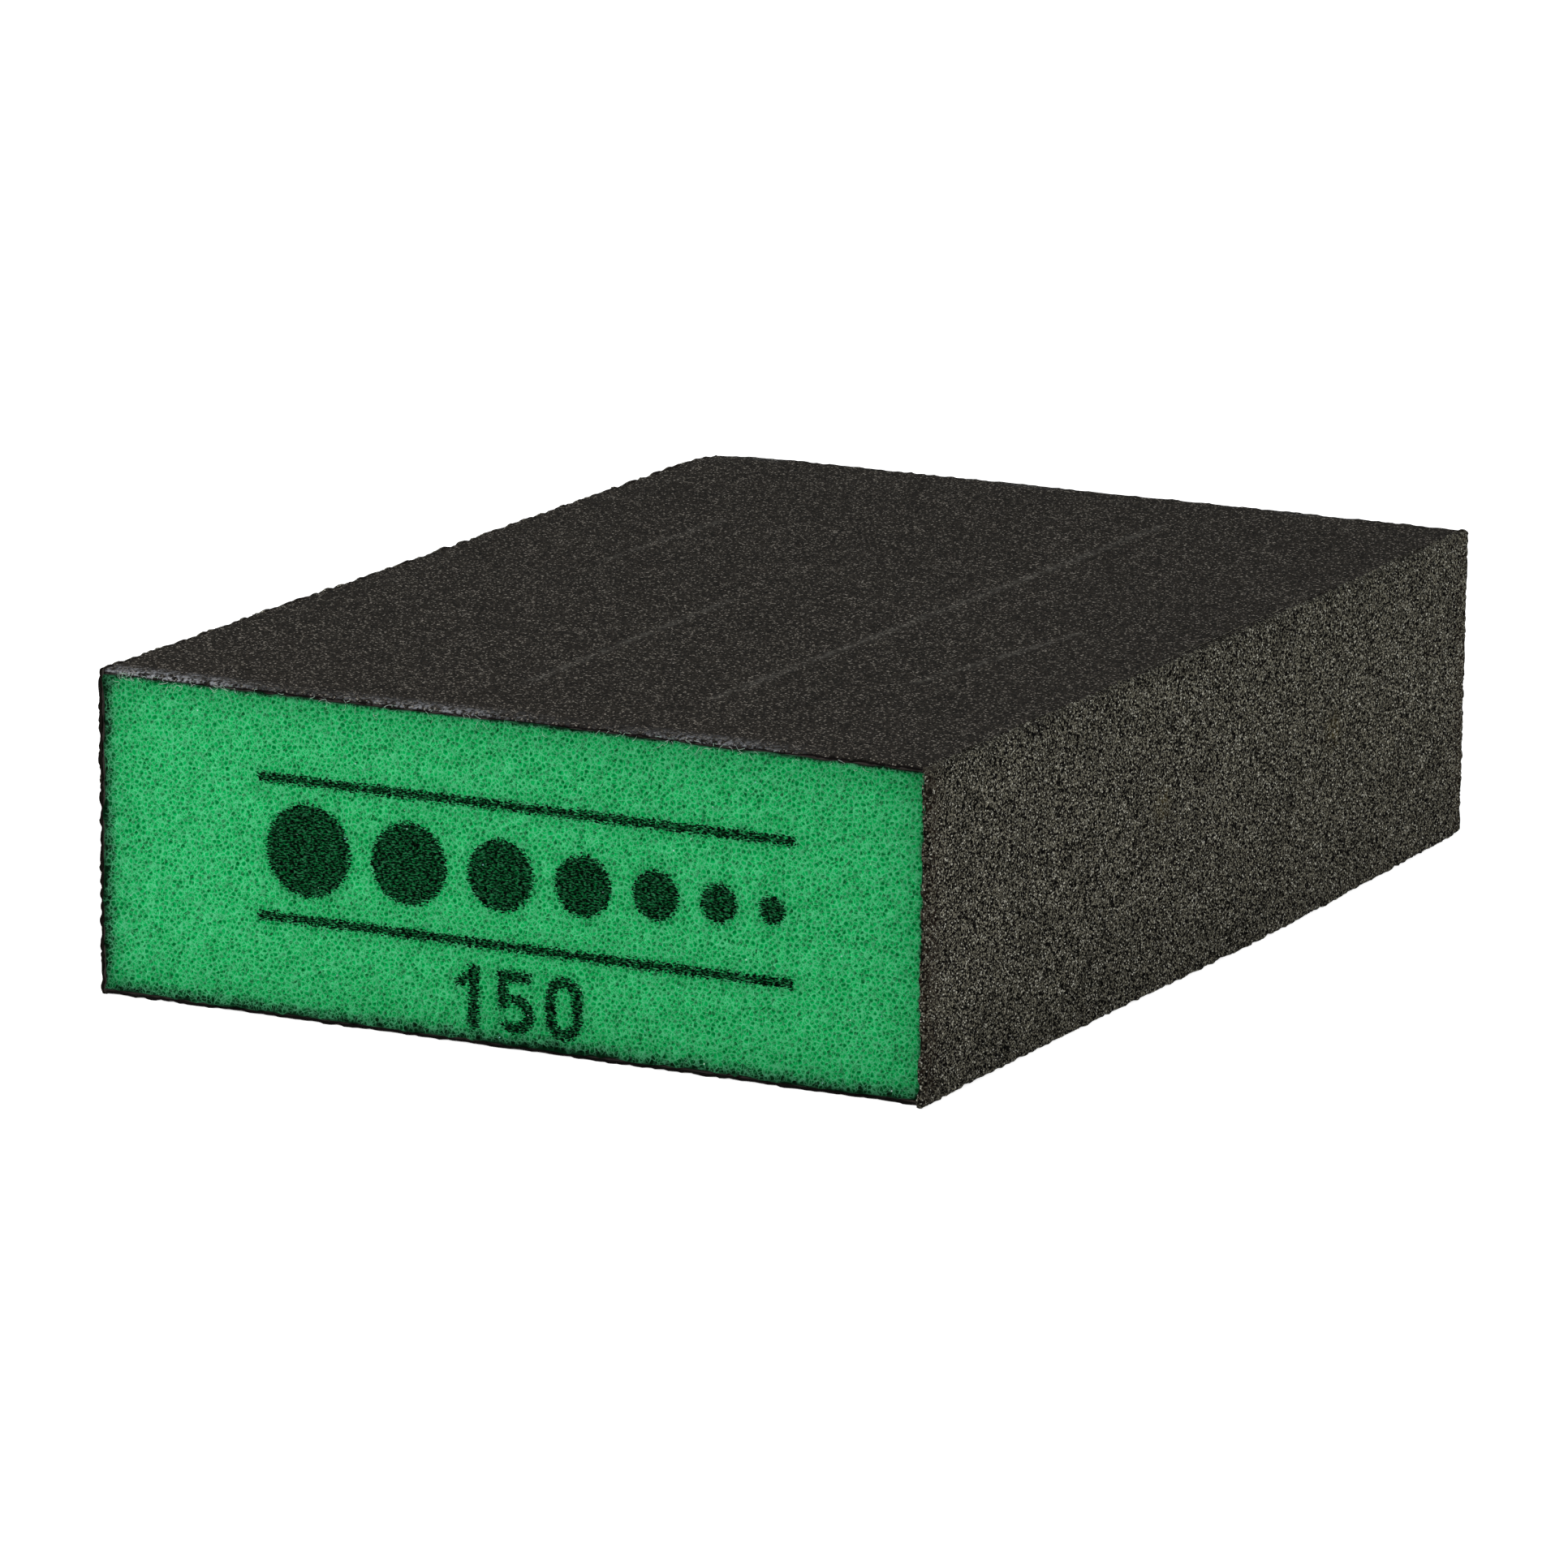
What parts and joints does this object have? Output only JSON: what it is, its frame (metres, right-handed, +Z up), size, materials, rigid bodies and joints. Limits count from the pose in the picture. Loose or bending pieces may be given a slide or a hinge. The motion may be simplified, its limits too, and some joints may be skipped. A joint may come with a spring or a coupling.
{
  "type": "sanding block",
  "caption": "Rectangular flexible foam sanding block with a fine abrasive coat on its wide faces and narrow sides; both ends are bare foam.",
  "frame": {"origin": "centre of the bottom face", "axes": "+Y along the length from the front end to the rear end, +X along the width, +Z up"},
  "size_m": [0.0698, 0.1016, 0.0254],
  "materials": {
    "foam": "matte open-cell foam",
    "binder": "satin latex and resin film",
    "grit": "fine abrasive grain under size resin",
    "side_grit": "fine abrasive grain on rough foam"
  },
  "bodies": {
    "root": {"foam_core": "foam", "top_binder": "binder", "top_grit": "grit", "bottom_binder": "binder", "bottom_grit": "grit", "left_binder": "binder", "left_grit": "side_grit", "right_binder": "binder", "right_grit": "side_grit"}
  },
  "joints": []
}
